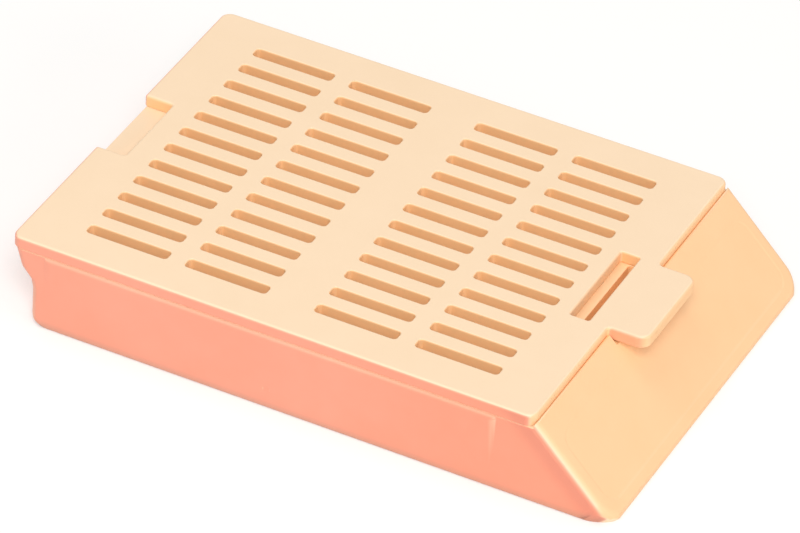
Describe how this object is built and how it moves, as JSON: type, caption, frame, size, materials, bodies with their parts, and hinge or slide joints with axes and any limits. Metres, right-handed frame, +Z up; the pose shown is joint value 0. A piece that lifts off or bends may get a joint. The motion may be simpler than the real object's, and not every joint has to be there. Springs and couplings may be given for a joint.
{
  "type": "tissue cassette",
  "caption": "Flat slotted tissue cassette: a tray with a sloped writing plate, closed by a hinged snap lid with a finger tab.",
  "frame": {"origin": "middle of the closed cassette's footprint, on the surface that it lies on", "axes": "+X from the hinge towards the foot of the writing plate, +Y across the width, +Z up through the lid"},
  "size_m": [0.0412, 0.0284, 0.0063],
  "materials": {
    "tray_acetal": "satin moulded acetal",
    "lid_acetal": "satin moulded acetal"
  },
  "bodies": {
    "base": {"base": "tray_acetal"},
    "lid": {"lid": "lid_acetal"}
  },
  "joints": [
    {"name": "lid_hinge", "type": "hinge", "parent": "base", "child": "lid", "pos_m": [-0.02064, 0, 0.00545], "axis": [0, -1, 0], "range_deg": [0, 110]}
  ]
}
